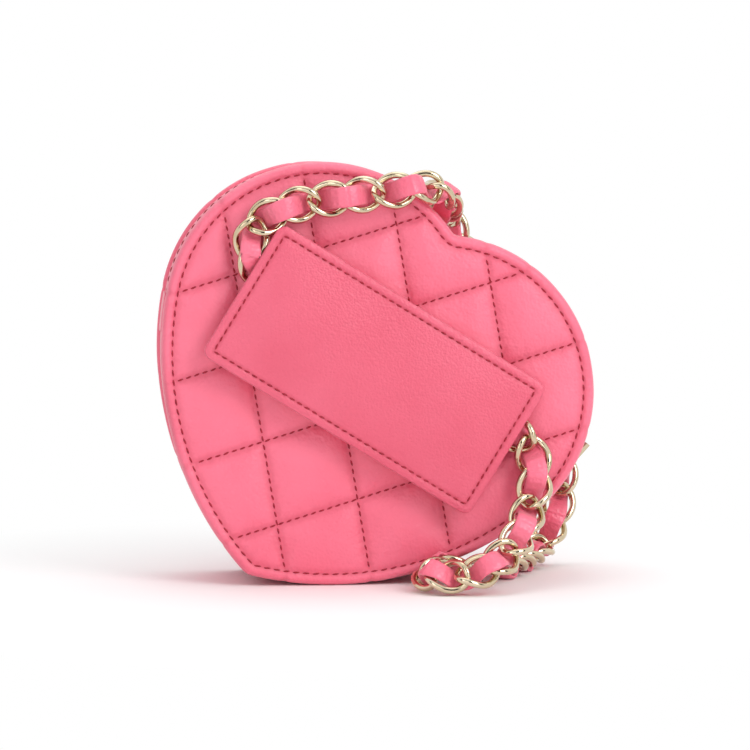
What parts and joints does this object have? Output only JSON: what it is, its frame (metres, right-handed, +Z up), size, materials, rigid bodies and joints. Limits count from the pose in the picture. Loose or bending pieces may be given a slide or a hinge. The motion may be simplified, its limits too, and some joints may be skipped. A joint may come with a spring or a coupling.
{
  "type": "heart shaped purse",
  "caption": "Small quilted leather heart purse with a zip round its side, a stitched arm pad on the back and a metal chain strap laced with leather.",
  "frame": {"origin": "on the floor, below the middle of the part's box as it stands", "axes": "+Z up, the back face with the arm pad towards -Y, the heart leaning over towards +X as it stands"},
  "size_m": [0.1169, 0.0747, 0.1113],
  "materials": {
    "leather": "soft smooth pink leather, quilted",
    "pad_leather": "smooth pink leather, stitched round the edge",
    "lining_fabric": "woven lining",
    "padding": "soft wadding",
    "board": "stiffener board",
    "zip_tape": "woven zip tape",
    "zip_metal": "polished pale gold",
    "chain_metal": "polished pale gold"
  },
  "bodies": {
    "back_half": {"back_rim": "leather", "back_panel": "leather", "back_padding": "padding", "back_board": "board", "back_lining": "lining_fabric", "back_gusset": "leather", "back_zip_tape": "zip_tape", "back_gusset_lining": "lining_fabric", "lower_gusset": "leather", "lower_gusset_lining": "lining_fabric", "zip_end_tabs": "leather", "back_zip_teeth": "zip_metal", "back_zip_stops": "zip_metal", "arm_pad_core": "padding", "arm_pad_backing": "leather", "arm_pad_face": "pad_leather", "chain_upper_links": "chain_metal", "chain_wrap_links": "chain_metal", "chain_lower_links": "chain_metal", "chain_upper_lacing": "leather", "chain_wrap_lacing": "leather", "chain_lower_lacing": "leather", "left_chain_loop": "leather", "right_chain_loop": "leather"},
    "front_half": {"front_rim": "leather", "front_panel": "leather", "front_padding": "padding", "front_board": "board", "front_lining": "lining_fabric", "front_gusset": "leather", "front_zip_tape": "zip_tape", "front_gusset_lining": "lining_fabric", "front_zip_teeth": "zip_metal", "front_zip_stops": "zip_metal"},
    "slider": {"slider_body": "zip_metal", "slider_bridge": "zip_metal"},
    "pull": {"pull_tab": "zip_metal"}
  },
  "joints": [
    {"name": "front_open", "type": "hinge", "parent": "back_half", "child": "front_half", "pos_m": [-0.00869, 0.01797, 0.04768], "axis": [-0.8508, 0, 0.5255], "range_deg": [0, 20], "deforming": ["lower_gusset", "lower_gusset_lining", "back_zip_teeth", "front_zip_teeth", "chain_wrap_links", "chain_wrap_lacing"]},
    {"name": "slider_travel", "type": "hinge", "parent": "back_half", "child": "slider", "pos_m": [0.01468, 0.00847, 0.05088], "axis": [0, -1, 0], "range_deg": [0, 90], "deforming": ["back_zip_teeth", "front_zip_teeth"]},
    {"name": "pull_swing", "type": "hinge", "parent": "slider", "child": "pull", "pos_m": [0.04562, 0.00847, 0.02285], "axis": [0, 1, 0], "range_deg": [0, 175]}
  ],
  "couplings": [
    {"joint": "slider_travel", "follows": "front_open", "ratio": 4.5}
  ]
}
